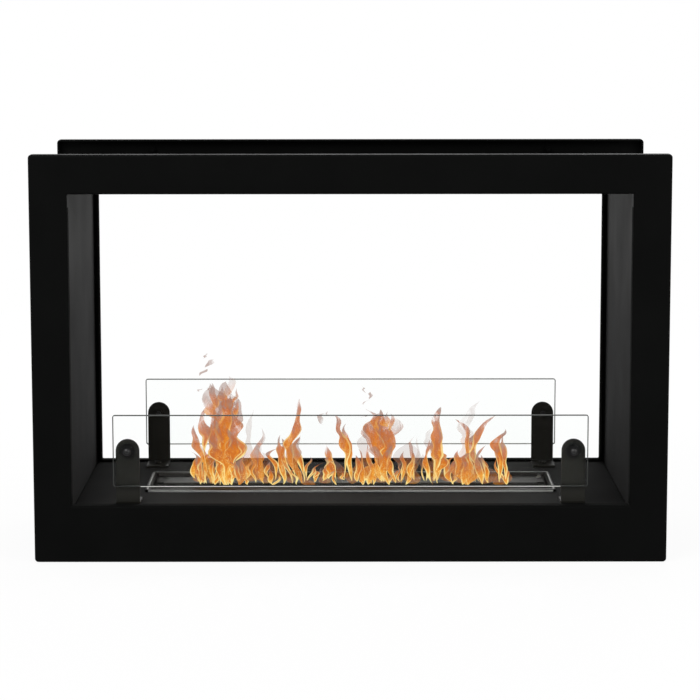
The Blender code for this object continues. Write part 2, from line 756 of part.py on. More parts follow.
def bracket(word, hand, sign, side):
    """L bracket: its side profile is extruded across the width, then its top is cut round."""
    name = f"{word}_{hand}_bracket"
    half_width = BRACKET_WIDTH / 2
    inner = BRACKET_BEND_RADIUS
    outer = BRACKET_BEND_RADIUS + BRACKET_SHEET
    profile = [(0, BRACKET_HEIGHT), (0, outer)]
    profile += arc((outer, outer), outer, math.pi, math.pi * 1.5, FOLD_STEPS)[1:]
    profile += [(BRACKET_FOOT, 0), (BRACKET_FOOT, BRACKET_SHEET)]
    profile += arc((outer, outer), inner, math.pi * 1.5, math.pi, FOLD_STEPS)
    profile += [(BRACKET_SHEET, BRACKET_HEIGHT)]
    mesh = plate_mesh(name, [profile], BRACKET_WIDTH)
    # Profile across is depth and profile up is height, so the extrusion runs along X
    mesh.transform(Matrix(((0, 0, 1, 0), (1, 0, 0, 0), (0, 1, 0, 0), (0, 0, 0, 1))))
    upright = add_object(name, mesh, DARK_STEEL, side)
    upright.location = (bracket_x(word, sign), BRACKET_SETBACK, HEARTH_TOP + CONTACT_GAP)

    crown = [(-half_width - CUT_OVERRUN, -CUT_OVERRUN), (half_width + CUT_OVERRUN, -CUT_OVERRUN)]
    crown += [(half_width + CUT_OVERRUN, BRACKET_HEIGHT - half_width)]
    crown += arc((0, BRACKET_HEIGHT - half_width), half_width, 0, math.pi, ROUND_TOP_STEPS)
    crown += [(-half_width - CUT_OVERRUN, BRACKET_HEIGHT - half_width)]
    depth = 2 * (BRACKET_FOOT + CUT_OVERRUN)
    cutter = add_object(name + "_crown", plate_mesh("crown", [crown], depth), None, side, CUTTERS)
    cutter.location = upright.location
    cutter.rotation_euler.x = math.pi / 2
    cut(upright, cutter, "INTERSECT")
    key = f"{word}_{hand}"
    drill(
        upright, [pane_screw_places(word)[key]], PANE_SCREW_RADIUS + HOLE_CLEARANCE,
        2 * (BRACKET_SETBACK + CUT_OVERRUN),
    )
    drill(
        upright, [foot_screw_places(word)[key]], FOOT_SCREW_RADIUS + HOLE_CLEARANCE,
        2 * (BRACKET_SHEET + CUT_OVERRUN),
    )
    smooth(upright)


def pane_fixings():
    """Button-head screws with washers, pads and nuts at the four glass holes."""
    seat = WASHER_THICKNESS + 2 * CONTACT_GAP
    tip = -(
        PANE_THICKNESS + PAD_THICKNESS + 3 * CONTACT_GAP + BRACKET_SHEET + PANE_NUT_HEIGHT + PANE_SCREW_TAIL
    )
    crown = seat + PANE_HEAD_HEIGHT
    shoulder = PANE_HEAD_RADIUS * BUTTON_CROWN_SHARES[0]
    shoulder_height = seat + PANE_HEAD_HEIGHT * BUTTON_CROWN_SHARES[1]
    profile = [
        (0, crown - SOCKET_DEPTH),
        (SOCKET_RADIUS, crown - SOCKET_DEPTH),
        (SOCKET_RADIUS, crown),
        (shoulder, shoulder_height),
        (PANE_HEAD_RADIUS, seat),
        (PANE_SCREW_RADIUS, seat),
        (PANE_SCREW_RADIUS, tip),
        (0, tip),
    ]
    screw = turned_mesh("glass_screw", profile, FINE_TURN_STEPS)
    copies(screw, all_sides(pane_screw_places, "_glass_screw"), DARK_STEEL)
    bore = PANE_SCREW_RADIUS + HOLE_CLEARANCE
    washer = ring_mesh("glass_washer", WASHER_RADIUS, bore, WASHER_THICKNESS, CONTACT_GAP)
    copies(washer, all_sides(pane_screw_places, "_glass_washer"), BLACK_RUBBER)
    pad_base = -PANE_THICKNESS - CONTACT_GAP - PAD_THICKNESS
    pad = ring_mesh("glass_pad", PAD_RADIUS, bore, PAD_THICKNESS, pad_base)
    copies(pad, all_sides(pane_screw_places, "_glass_pad"), BLACK_RUBBER)
    nut_base = pad_base - 2 * CONTACT_GAP - BRACKET_SHEET - PANE_NUT_HEIGHT
    nut = nut_mesh(PANE_NUT_FLATS, PANE_NUT_HEIGHT, bore, nut_base)
    copies(nut, all_sides(pane_screw_places, "_glass_nut"), DARK_STEEL)


def ring_mesh(name, radius, bore, thickness, base):
    """A flat turned ring that stands on local Z = base."""
    top = base + thickness
    return turned_mesh(
        name, [(bore, top), (radius, top), (radius, base), (bore, base)], FINE_TURN_STEPS, closed=True
    )


def foot_screws():
    """Pan-head screws that hold the brackets' feet on the hearth."""
    seat = 2 * CONTACT_GAP + BRACKET_SHEET
    crown = seat + FOOT_HEAD_HEIGHT
    tip = -HEARTH_SHEET - FOOT_SCREW_TAIL
    profile = [
        (0, crown),
        (FOOT_HEAD_RADIUS * PAN_CROWN_SHARES[0], crown),
        (FOOT_HEAD_RADIUS, seat + FOOT_HEAD_HEIGHT * PAN_CROWN_SHARES[1]),
        (FOOT_HEAD_RADIUS, seat),
        (FOOT_SCREW_RADIUS, seat),
        (FOOT_SCREW_RADIUS, tip),
        (0, tip),
    ]
    screw = turned_mesh("foot_screw", profile, TURN_STEPS)
    copies(screw, all_sides(foot_screw_places, "_foot_screw"), DARK_STEEL)


# Burner

def pan_ring(inset, height):
    """The pan's outline, drawn in by the inset, at a height over the hearth."""
    low = (-BURNER_LENGTH / 2 + inset, -BURNER_WIDTH / 2 + inset)
    high = (BURNER_LENGTH / 2 - inset, BURNER_WIDTH / 2 - inset)
    radius = max(BURNER_CORNER_RADIUS - inset, PAN_CORNER_RADIUS)
    return [(x, y, height) for x, y in rounded_rectangle(low, high, radius)]


def burner_pan(parent):
    """Pressed pan: a turned-down lip, a beaded rim and a sunk deck with the burner slot."""
    rim = [(RIM_WIDTH * share, RIM_HEIGHT + RIM_BEAD * rise_share) for share, rise_share in BEAD_SHARES]
    deck = (RIM_WIDTH + PAN_DRAFT, RIM_HEIGHT - PAN_DEPTH)
    rings = [pan_ring(inset, height) for inset, height in ((0, 0), *rim, deck)]
    mesh = loft("burner_pan", rings, (0, 0, 1), closed_end=True)
    pan = add_object("burner_pan", mesh, BRUSHED_STEEL, parent)
    solidify(pan, BURNER_SHEET, -1)
    low = (-SLOT_HALF_LENGTH, SLOT_FRONT)
    high = (SLOT_HALF_LENGTH, SLOT_FRONT + SLOT_WIDTH)
    outline = rounded_rectangle(low, high, SLOT_CORNER_RADIUS)
    cutter = add_object(
        "burner_slot", plate_mesh("slot", [outline], 2 * (PAN_DEPTH + CUT_OVERRUN)), None, parent, CUTTERS
    )
    cut(pan, cutter)
    smooth(pan)


def reservoir(parent):
    """Open fuel tray welded under the deck, with the ceramic wool that holds the fuel."""
    top = DECK_TOP - BURNER_Z - BURNER_SHEET - CONTACT_GAP
    half_length = DECK_HALF_LENGTH - RESERVOIR_INSET
    half_width = DECK_HALF_WIDTH - RESERVOIR_INSET
    bm = bmesh.new()
    bmesh.ops.create_cube(bm, size=2)
    bmesh.ops.scale(bm, vec=(half_length, half_width, RESERVOIR_DEPTH / 2), verts=bm.verts)
    bmesh.ops.translate(bm, vec=(0, 0, top - RESERVOIR_DEPTH / 2), verts=bm.verts)
    mouth = max(bm.faces, key=lambda face: face.calc_center_median().z)
    bmesh.ops.delete(bm, geom=[mouth], context="FACES")
    corners = [edge for edge in bm.edges if not edge.is_boundary]
    bmesh.ops.bevel(
        bm, geom=corners, offset=RESERVOIR_CORNER_RADIUS, offset_type="OFFSET", segments=CORNER_STEPS,
        profile=0.5, affect="EDGES",
    )
    mesh = bpy.data.meshes.new("burner_reservoir")
    bm.to_mesh(mesh)
    bm.free()
    tray = add_object("burner_reservoir", mesh, BRUSHED_STEEL, parent)
    solidify(tray, RESERVOIR_SHEET, -1)
    smooth(tray)

    wall = RESERVOIR_SHEET + CONTACT_GAP
    block(
        "ceramic_wool",
        (-half_length + wall, -half_width + wall, top - RESERVOIR_DEPTH + wall),
        (half_length - wall, half_width - wall, DECK_TOP - BURNER_Z - WOOL_DROP),
        WOOL_EDGE, WHITE_WOOL, parent,
    )


def lid(parent):
    """Sliding lid: a flat plate on the deck whose front lip hangs in the slot, with a hook eye."""
    half_sheet = BURNER_SHEET / 2
    half_length = DECK_HALF_LENGTH - LID_END_GAP
    lip_relief = half_length - (SLOT_HALF_LENGTH - LID_LIP_END_GAP)
    plate = folded_sheet(
        "burner_lid", half_length, (LID_WIDTH - half_sheet) / 2, BURNER_SHEET, {"-y": -LID_LIP},
        (lip_relief, LID_LIP_RELIEF), BRUSHED_STEEL, parent,
    )
    plate.location = (0, (LID_WIDTH + half_sheet) / 2, half_sheet)
    eye_place = facing((0, 0, 1), (half_length - EYE_END_MARGIN, LID_WIDTH - EYE_REAR_MARGIN, 0))
    drill(plate, [eye_place], EYE_NECK_RADIUS + HOLE_CLEARANCE, 2 * (BURNER_SHEET + CUT_OVERRUN))
    seat = BURNER_SHEET + CONTACT_GAP
    profile = [
        (EYE_BORE_RADIUS, seat + EYE_HEIGHT),
        (EYE_NECK_RADIUS, seat + EYE_HEIGHT),
        (EYE_NECK_RADIUS, seat + EYE_FLANGE),
        (EYE_RADIUS, seat + EYE_FLANGE),
        (EYE_RADIUS, seat),
        (EYE_NECK_RADIUS, seat),
        (EYE_NECK_RADIUS, 0),
        (EYE_BORE_RADIUS, 0),
    ]
    eye = turned_mesh("hook_eye", profile, TURN_STEPS, closed=True)
    copies(eye, {"lid_hook_eye": eye_place}, BRUSHED_STEEL, parent)


# Build

SIDES = [
    empty("front_side", (0, -DEPTH / 2, 0)),
    empty("rear_side", (0, DEPTH / 2, 0), math.pi),
]

for end, side_frame in zip(SIDE_WORDS, SIDES):
    face_frame(end, side_frame)
    frame_nuts(end, side_frame)
    pane(end, side_frame)
    for hand_word, direction in HANDS:
        bracket(end, hand_word, direction, side_frame)
casing()
liner()
hearth()
insulation()
pane_fixings()
foot_screws()

burner = empty("burner_lift", (0, 0, BURNER_Z))
burner_pan(burner)
reservoir(burner)
lid(empty("lid_slide", (0, LID_FRONT, LID_BOTTOM - BURNER_Z), parent=burner))
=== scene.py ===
"""Looks of the double-sided fireplace insert: finishes for the CAD nodes, flames and a white studio."""

import json
import math
import random

import bmesh
import bpy
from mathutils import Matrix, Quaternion, Vector, noise


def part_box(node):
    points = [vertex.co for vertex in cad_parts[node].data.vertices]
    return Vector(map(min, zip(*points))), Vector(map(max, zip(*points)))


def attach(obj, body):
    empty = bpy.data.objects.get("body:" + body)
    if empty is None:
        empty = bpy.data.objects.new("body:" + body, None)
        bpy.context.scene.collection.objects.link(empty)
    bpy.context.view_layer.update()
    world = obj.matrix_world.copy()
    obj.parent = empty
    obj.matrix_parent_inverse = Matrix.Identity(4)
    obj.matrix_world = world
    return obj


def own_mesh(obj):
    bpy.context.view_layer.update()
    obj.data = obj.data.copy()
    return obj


# Camera, fitted to the photograph
LENS = 132.46
CAMERA_PLACE = (0.0029, -3.36335, 0.71694)
CAMERA_TURN = (math.pi / 2 - 0.1386, 0.0010, 0.0009)

# Floor: how much of it shows as white near the object, and how far off it starts and ends to fade
FLOOR_HALF = 30.0
FLOOR_DROP = 0.0002
FLOOR_COLOUR = (0.86, 0.86, 0.86)
FLOOR_SHOWN = 0.92
FLOOR_FADE = (0.8, 2.5)
# World: its strength as light, while the eye sees it white
WORLD_LIGHT = 0.65
WHITE = (1.0, 1.0, 1.0, 1.0)
# How many see-through faces of the flames a ray may pass
CLEAR_BOUNCES = 32
LAMPS = (
    # name, place, aimed at, width, height, watts
    ("key_softbox", (-1.6, -2.4, 2.6), (0.0, 0.0, 0.2), 1.8, 1.4, 60.0),
    ("fill_softbox", (2.2, -1.8, 1.6), (0.0, 0.0, 0.2), 1.6, 1.6, 25.0),
    ("back_softbox", (0.3, 2.6, 2.4), (0.0, 0.0, 0.2), 2.0, 1.2, 45.0),
)

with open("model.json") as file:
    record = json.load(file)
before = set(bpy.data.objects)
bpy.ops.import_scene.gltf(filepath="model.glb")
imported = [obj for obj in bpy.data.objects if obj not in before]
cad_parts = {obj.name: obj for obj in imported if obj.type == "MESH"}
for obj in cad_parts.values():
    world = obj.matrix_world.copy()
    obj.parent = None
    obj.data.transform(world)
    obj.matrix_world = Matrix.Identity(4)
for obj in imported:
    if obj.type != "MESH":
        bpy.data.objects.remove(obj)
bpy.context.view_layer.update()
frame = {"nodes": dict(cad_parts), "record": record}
nodes = frame["nodes"]
scene = bpy.context.scene


# Node helpers

# What a tree is made for, and the shader and the output that it starts with
MATERIAL = (bpy.data.materials, "Principled BSDF", "Material Output")
WORLD = (bpy.data.worlds, "Background", "World Output")


class Tree:
    """The node tree of a new material or world."""

    def __init__(self, name, kind=MATERIAL):
        store, shader, output = kind
        self.owner = store.new(name)
        self.owner.use_nodes = True
        self.nodes = self.owner.node_tree.nodes
        self.links = self.owner.node_tree.links
        self.shader = self.nodes[shader]
        self.output = self.nodes[output]

    def add(self, kind, inputs=None, **settings):
        """A node with its settings and inputs, which are values or sockets."""
        made = self.nodes.new("ShaderNode" + kind)
        for name, value in settings.items():
            setattr(made, name, value)
        for name, value in (inputs or {}).items():
            self.join(value, made.inputs[name])
        return made

    def join(self, value, socket):
        """Links a socket, or sets a value."""
        if isinstance(value, bpy.types.NodeSocket):
            self.links.new(value, socket)
        else:
            socket.default_value = value

    def math(self, operation, first, *others):
        """One arithmetic step on each further value in turn, or on the first alone."""
        result = first
        for value in others or (0.0,):
            result = self.add("Math", {0: result, 1: value}, operation=operation).outputs[0]
        return result

    def axes(self, vector=None):
        """The parts of a vector by axis, or of the point in the row frame."""
        return self.add("SeparateXYZ", {0: vector or self.place()}).outputs

    def place(self, scale=(1.0, 1.0, 1.0)):
        """The point in the row frame, scaled along each axis."""
        here = self.add("TexCoord").outputs["Object"]
        return self.add("Mapping", {"Vector": here, "Scale": scale}).outputs["Vector"]

    def noise(self, scale, detail, vector=None, roughness=0.5, distortion=0.0):
        """Noise between 0 and 1."""
        inputs = {"Scale": scale, "Detail": detail, "Roughness": roughness, "Distortion": distortion}
        inputs["Vector"] = vector or self.place()
        return self.add("TexNoise", inputs).outputs[0]

    def between(self, value, low, high, to_low=0.0, to_high=1.0):
        """A value moved from one range to another, clamped."""
        inputs = {"Value": value, "From Min": low, "From Max": high, "To Min": to_low, "To Max": to_high}
        return self.add("MapRange", inputs).outputs[0]

    def blend(self, share, first, second):
        """Two colours mixed."""
        return self.add("Mix", {0: share, 6: first, 7: second}, data_type="RGBA").outputs[2]

    def bump(self, height, strength, distance):
        """A bumped normal."""
        return self.add("Bump", {"Height": height, "Strength": strength, "Distance": distance}).outputs[0]

    def set(self, **values):
        """Values or sockets for the shader that the tree starts with: underscores stand for spaces."""
        for name, value in values.items():
            self.join(value, self.shader.inputs[name.replace("_", " ")])

    def show(self, share, first, second):
        """Sends two shader nodes to the surface, mixed."""
        mixed = self.add("MixShader", {0: share, 1: first.outputs[0], 2: second.outputs[0]})
        self.links.new(mixed.outputs[0], self.output.inputs["Surface"])


def rgb(red, green, blue):
    """A solid colour for a socket."""
    return (red, green, blue, 1.0)


def shade(colour, gain):
    """A colour made darker or lighter."""
    return rgb(*(value * gain for value in colour))


def dress(node, material):
    """Gives a CAD node one material."""
    node.data.materials.clear()
    node.data.materials.append(material)


# Finishes

# A noise's middle, and the span round it where most of its values lie
NOISE_MIDDLE = 0.5
NOISE_SPAN = (0.3, 0.7)
# Fineness of orange peel, black oxide, clouds and dust, per metre
PEEL_FINENESS = 900.0
OXIDE_FINENESS = 1500.0
CLOUD_FINENESS = 14.0
DUST_FINENESS = 2600.0
# Orange peel: how strong and how deep it is
PEEL_BUMP = (0.12, 0.0004)
# Clouds: how much lighter they are, and how far the gloss changes with them
CLOUD_GAIN = 1.35
CLOUD_GLOSS = (-0.04, 0.05)
# Dust: the noise at which it starts and is full, how much of the coat it hides, and its colour
DUST_SPAN = (0.74, 0.80)
DUST_SHARE = 0.25
DUST_COLOUR = (0.05, 0.05, 0.048)
# Soot, which dulls the coat, and painted light near the burner, which leaves the corners darker as painted
# shade: the heights between which they fade, how far along X the painted light lies, what is left of it
# beyond, and the colour that painted light on the coat blends to
SOOT_HEIGHTS = (0.07, 0.46)
BURNER_LIGHT_HEIGHTS = (0.07, 0.13)
BURNER_LIGHT_REACH = (0.24, 0.35)
BURNER_LIGHT_ASIDE = 0.1
PAINTED_LIGHT_COLOUR = (0.16, 0.16, 0.155)
# Painted light towards the ceiling: the heights over which it grows, and how many times the share near the
# burner it takes
TOP_LIGHT_HEIGHTS = (0.30, 0.47)
TOP_LIGHT_GAIN = 5.0
# Inside the openings, where the coat is duller and takes painted light: its top, its reach along X and Y,
# and how much painted light colour it gives sills and walls
INSIDE_TOP = 0.45
INSIDE_REACH = (0.36, 0.1685)
SILL_HEIGHTS = (0.080, 0.090)
SILL_PAINTED_LIGHT = 0.024
WALL_PAINTED_LIGHT = 0.08
# Brushing: its fineness along each axis, how dark its grooves are, and how strong and deep
BRUSHING = (30.0, 2400.0, 2400.0)
POLISHING = (1500.0, 1500.0, 1500.0)
GROOVE_SPAN = (0.25, 0.75)
GROOVE_SHADE = 0.72
GROOVE_BUMP = (0.15, 0.0003)
SMEAR_FINENESS = 9.0
SMEAR_SPAN = (0.7, 1.3)
SMEAR_GLOSS = (-0.06, 0.1)
# Burner pan: the ridge of its bead and its lip, and the painted highlights on them
RIDGE_HEIGHT = 0.00012
LIP_DEPTH = 0.0002
RIDGE_HIGHLIGHT_COLOUR = (0.26, 0.26, 0.25)
LIP_HIGHLIGHT_COLOUR = (0.60, 0.60, 0.58)
# Panes, whose low index keeps their reflection faint, and which of their faces are ground and look down
GLASS_COLOUR = (0.985, 0.995, 0.99)
GLASS_INDEX = 1.04
EDGE_FACING = 0.9
LOW_EDGE_FACING = 0.5
# Ground edges: painted shade, darker on the front pane than on the rear; the lower edges take a painted
# highlight
FRONT_EDGE_PAINTED_SHADE = (0.050, 0.053, 0.050)
REAR_EDGE_PAINTED_SHADE = (0.15, 0.16, 0.15)
LOW_EDGE_PAINTED_HIGHLIGHT = (0.85, 0.85, 0.82)
GRIT_FINENESS = 1500.0
GRIT_SHADE = 0.8
# Painted glow on the lower edges, and how far along X from the middle it reaches
PAINTED_EDGE_GLOW = (0.30, 0.30, 0.28)
PAINTED_GLOW_REACH = 0.266


def black_coat(name, colour, roughness, specular, grain=PEEL_FINENESS, sooty=0.0, burner_light=0.0, inside_dull_and_light=0.0):
    """Satin black coat: fine orange peel, small changes of gloss and faint dust. Soot dulls it towards the
    hearth, and painted light makes it lighter at the hearth's height near the burner, less towards the
    corners, and again towards the ceiling. Inside the openings it is duller and lightened by painted light,
    the sills less."""
    tree = Tree(name)
    spot = tree.axes()
    height = spot["Z"]
    inside = tree.math("LESS_THAN", height, INSIDE_TOP)
    for axis, reach in zip("XY", INSIDE_REACH):
        within = tree.math("LESS_THAN", tree.math("ABSOLUTE", spot[axis]), reach)
        inside = tree.math("MULTIPLY", inside, within)
    cloud = tree.noise(CLOUD_FINENESS, 3.0)
    dust = tree.between(tree.noise(DUST_FINENESS, 1.0), *DUST_SPAN)
    base = tree.blend(tree.between(cloud, *NOISE_SPAN), rgb(*colour), shade(colour, CLOUD_GAIN))
    coat = tree.blend(tree.math("MULTIPLY", dust, DUST_SHARE), base, rgb(*DUST_COLOUR))

    # Painted light near the burner at the hearth's height, leaving the corners darker as painted shade
    aside = tree.between(tree.math("ABSOLUTE", spot["X"]), *BURNER_LIGHT_REACH, 1.0, BURNER_LIGHT_ASIDE)
    burner_light_share = tree.math("MULTIPLY", tree.between(height, *BURNER_LIGHT_HEIGHTS, burner_light, 0.0), aside)
    # Painted light, lighter towards the ceiling
    top_light_share = tree.between(height, *TOP_LIGHT_HEIGHTS, 0.0, TOP_LIGHT_GAIN * burner_light)
    # Painted light inside the openings, less on the sills than on the walls
    inside_light_share = tree.between(height, *SILL_HEIGHTS, SILL_PAINTED_LIGHT * inside_dull_and_light, WALL_PAINTED_LIGHT * inside_dull_and_light)
    pale = tree.math("ADD", burner_light_share, top_light_share, tree.math("MULTIPLY", inside, inside_light_share))

    gloss = tree.between(cloud, *NOISE_SPAN, *(roughness + change for change in CLOUD_GLOSS))
    soot = tree.between(height, *SOOT_HEIGHTS, sooty, 0.0)
    dulled = tree.math("ADD", soot, tree.math("MULTIPLY", inside, inside_dull_and_light))
    tree.set(
        Base_Color=tree.blend(pale, coat, rgb(*PAINTED_LIGHT_COLOUR)),
        Roughness=tree.math("ADD", gloss, dulled),
        Specular_IOR_Level=specular,
        Normal=tree.bump(tree.noise(grain, 2.0), *PEEL_BUMP),
    )
    return tree.owner


def brushed(name, colour, roughness, stretch=BRUSHING, ridge_heights=None, lip=None, flat_shine=1.0):
    """Brushed steel. Between the two ridge heights it takes a painted highlight, and farther along Y than
    the lip a brighter painted highlight. Flat shine below 1 dims it where it is seen at a low angle."""
    tree = Tree(name)
    grain = tree.noise(1.0, 3.0, tree.place(stretch), 0.6)
    smear = tree.noise(SMEAR_FINENESS, 3.0)
    steel = tree.blend(tree.between(grain, *GROOVE_SPAN), shade(colour, GROOVE_SHADE), rgb(*colour))
    # Painted highlights on the bead's ridge and on the outer faces of the lip
    if ridge_heights:
        spot = tree.axes()
        outer = tree.math("GREATER_THAN", tree.math("ABSOLUTE", spot["Y"]), lip)
        steel = tree.blend(tree.between(spot["Z"], *ridge_heights), steel, rgb(*RIDGE_HIGHLIGHT_COLOUR))
        steel = tree.blend(outer, steel, rgb(*LIP_HIGHLIGHT_COLOUR))
    uneven = tree.math("ADD", grain, smear)
    tree.set(
        Base_Color=steel,
        Metallic=1.0,
        Specular_Tint=rgb(flat_shine, flat_shine, flat_shine),
        Roughness=tree.between(uneven, *SMEAR_SPAN, *(roughness + change for change in SMEAR_GLOSS)),
        Normal=tree.bump(grain, *GROOVE_BUMP),
    )
    return tree.owner


def glass(name, edge_shade):
    """Clear tempered glass whose ground edges, the faces that don't look along Y, are frosted and painted
    with shade.
    Between the brackets its lower edge is painted with a highlight and a faint painted glow instead."""
    tree = Tree(name)
    tree.set(Base_Color=rgb(*GLASS_COLOUR), Transmission_Weight=1.0, Roughness=0.0, IOR=GLASS_INDEX)
    facing = tree.axes(tree.add("NewGeometry").outputs["True Normal"])
    ground = tree.math("LESS_THAN", tree.math("ABSOLUTE", facing["Y"]), EDGE_FACING)
    # Painted highlight and painted glow on the lower edges between the brackets; the other ground edges
    # take painted shade
    below = tree.math("LESS_THAN", facing["Z"], -LOW_EDGE_FACING)
    between = tree.math("LESS_THAN", tree.math("ABSOLUTE", tree.axes()["X"]), PAINTED_GLOW_REACH)
    painted_glow_band = tree.math("MULTIPLY", below, between)
    grit = tree.noise(GRIT_FINENESS, 2.0)
    colours = [
        tree.blend(grit, shade(painted_edge_tone, GRIT_SHADE), rgb(*painted_edge_tone))
        for painted_edge_tone in (edge_shade, LOW_EDGE_PAINTED_HIGHLIGHT)
    ]
    edge = tree.add("BsdfPrincipled", {
        "Base Color": tree.blend(painted_glow_band, *colours),
        "Roughness": 0.5,
        "Specular IOR Level": 0.2,
        "Emission Color": tree.blend(painted_glow_band, rgb(0.0, 0.0, 0.0), rgb(*PAINTED_EDGE_GLOW)),
        "Emission Strength": 1.0,
    })
    tree.show(ground, tree.shader, edge)
    return tree.owner


def rubber(name):
    """Dull black silicone."""
    tree = Tree(name)
    fleck = tree.noise(1800.0, 2.0)
    tree.set(
        Base_Color=tree.blend(fleck, rgb(0.002, 0.002, 0.002), rgb(0.006, 0.006, 0.006)),
        Roughness=tree.between(fleck, 0.2, 0.8, 0.62, 0.78),
        Specular_IOR_Level=0.15,
        Normal=tree.bump(fleck, 0.1, 0.0002),
    )
    return tree.owner


def fibre(name, dark, light, scale, stretch):
    """Pressed or loose fibres, drawn out along the axes whose stretch is small."""
    tree = Tree(name)
    strands = tree.noise(scale, 5.0, tree.place(stretch), 0.7, 0.6)
    tree.set(
        Base_Color=tree.blend(tree.between(strands, *NOISE_SPAN), rgb(*dark), rgb(*light)),
        Roughness=0.95,
        Sheen_Weight=0.15,
        Normal=tree.bump(strands, 0.6, 0.001),
    )
    return tree.owner


FINISHES = {
    # The powder coat is duller inside the openings and takes painted light there
    "black_powder_coat": black_coat(
        "black_powder_coat_look", (0.0018, 0.0019, 0.0018), 0.50, 0.03, inside_dull_and_light=0.45
    ),
    # The heat paint takes painted light near the burner and towards the ceiling
    "dark_grey_heat_paint": black_coat(
        "heat_paint_look", (0.005, 0.005, 0.005), 0.72, 0.10, sooty=0.20, burner_light=0.045
    ),
    "blackened_steel": black_coat(
        "blackened_steel_look", (0.0100, 0.0098, 0.0078), 0.5, 0.14, OXIDE_FINENESS
    ),
    "brushed_stainless": brushed(
        "brushed_stainless_look", (0.048, 0.047, 0.044), 0.40, flat_shine=0.6
    ),
    # The front pane's ground edges are painted with dark shade
    "clear_tempered_glass": glass("tempered_glass_look", FRONT_EDGE_PAINTED_SHADE),
    "black_silicone": rubber("silicone_look"),
    "mineral_fibre_board": fibre(
        "fibre_board_look", (0.42, 0.38, 0.28), (0.62, 0.58, 0.47), 160.0, (1.0, 1.0, 3.0)
    ),
    "ceramic_wool": fibre(
        "ceramic_wool_look", (0.62, 0.60, 0.56), (0.88, 0.87, 0.84), 220.0, (1.0, 1.0, 1.0)
    ),
}

for part in frame["record"]["subparts"]:
    dress(nodes[part["node"]], FINISHES[part["material_slot"]])

oiled = black_coat("oiled_screw_look", (0.004, 0.004, 0.004), 0.30, 0.34, OXIDE_FINENESS)
for name, node in nodes.items():
    if name.endswith("_glass_screw"):
        dress(node, oiled)
    if "_frame_nut_" in name:
        dress(node, FINISHES["black_powder_coat"])

# The hearth takes painted light near the burner, its corners left darker as painted shade
dress(
    nodes["hearth_plate"],
    black_coat("hearth_look", (0.003, 0.003, 0.003), 0.72, 0.03, sooty=0.20, burner_light=0.15),
)

pan_right, pan_back, pan_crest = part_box("burner_pan")[1]
# The pan's bead ridge and lip are painted with highlights
dress(
    nodes["burner_pan"],
    brushed(
        "burner_pan_look", (0.030, 0.029, 0.027), 0.40, ridge_heights=(pan_crest - RIDGE_HEIGHT, pan_crest),
        lip=pan_back - LIP_DEPTH, flat_shine=0.45,
    ),
)

dress(nodes["lid_hook_eye"], brushed("polished_eye_look", (0.62, 0.62, 0.60), 0.22, POLISHING))
# The rear pane's ground edges take a lighter painted shade than the front's
dress(nodes["rear_glass"], glass("rear_glass_look", REAR_EDGE_PAINTED_SHADE))


# Flames, in the burner's slot

# The slot's middle and the height of the lowest feet
SLOT_Y = -0.0035
FLAME_FOOT = 0.0665
# Half the slot's open width beside the lid, and how fast the flames spread above it
THROAT = 0.0026
SPREAD = 0.8
LID_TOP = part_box("burner_lid")[1][2]
# Pixels of the picture in a metre across and up at the flames, and the pixels of the middle and of the feet
FLAME_SCALE = 757.5
FLAME_RISE = 748.0
CENTRE_PIXEL = 350.0
FOOT_PIXEL = 485.5
# How a lick burns: with a bright rim, with hardly one, or thin and dusky
HOT, WARM, DUSK = 0.0, 0.5, 1.0

